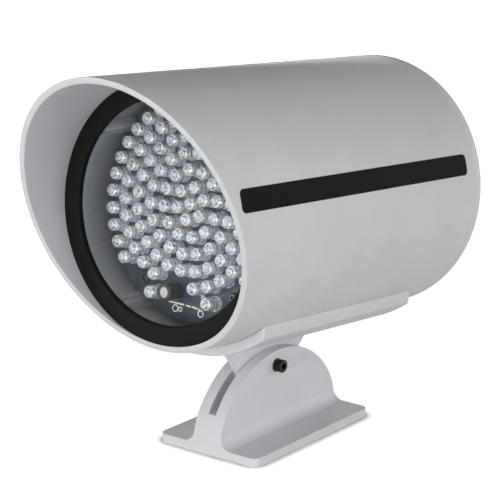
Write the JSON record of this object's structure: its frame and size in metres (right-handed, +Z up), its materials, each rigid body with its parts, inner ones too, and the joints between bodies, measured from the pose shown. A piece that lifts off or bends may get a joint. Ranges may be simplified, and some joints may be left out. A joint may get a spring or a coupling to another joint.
{
  "type": "infrared illuminator",
  "caption": "Tubular infrared lamp with a slanted sun hood, glass window, ringed LED board and rear cable gland, tilting in a forked mounting foot.",
  "frame": {"origin": "middle of the foot's underside", "axes": "+Z up from the mounting surface, the window faces -Y and the cable leaves towards +Y, the hinge screw's head is on the +X side"},
  "size_m": [0.11, 0.2006, 0.1659],
  "materials": {
    "grey_aluminium": "satin, painted light grey",
    "black_steel": "black oxide",
    "plain_steel": "zinc plated",
    "black_plastic": "matt",
    "black_rubber": "matt",
    "clear_glass": "clear",
    "dark_board": "dark solder mask",
    "green_board": "green solder mask",
    "clear_resin": "clear moulded resin",
    "sensor_case": "matt",
    "sensor_cell": "matt",
    "brass": "plain",
    "capacitor_sleeve": "sleeved",
    "green_plastic": "matt"
  },
  "bodies": {
    "foot": {"mounting_foot": "grey_aluminium", "hinge_screw": "black_steel", "hinge_lock_washer": "black_steel"},
    "housing": {"saddle_bracket": "grey_aluminium", "saddle_screws": "plain_steel", "housing_tube": "grey_aluminium", "window_ring": "black_plastic", "window_glass": "clear_glass", "led_board": "dark_board", "board_screws": "plain_steel", "led_array": "clear_resin", "light_sensor_case": "sensor_case", "light_sensor_cell": "sensor_cell", "receiver_lens": "clear_resin", "driver_pillars": "brass", "driver_board": "green_board", "driver_capacitors": "capacitor_sleeve", "terminal_block": "green_plastic", "rear_cover": "grey_aluminium", "rear_cover_screws": "plain_steel", "gland_washer": "black_rubber", "gland_body": "black_plastic", "gland_locknut": "black_plastic", "gland_insert": "black_rubber", "gland_cap": "black_plastic"}
  },
  "joints": [
    {"name": "tilt", "type": "hinge", "parent": "foot", "child": "housing", "pos_m": [0, -0.002, 0.0302], "axis": [-1, 0, 0], "range_deg": [-38, 22]}
  ]
}
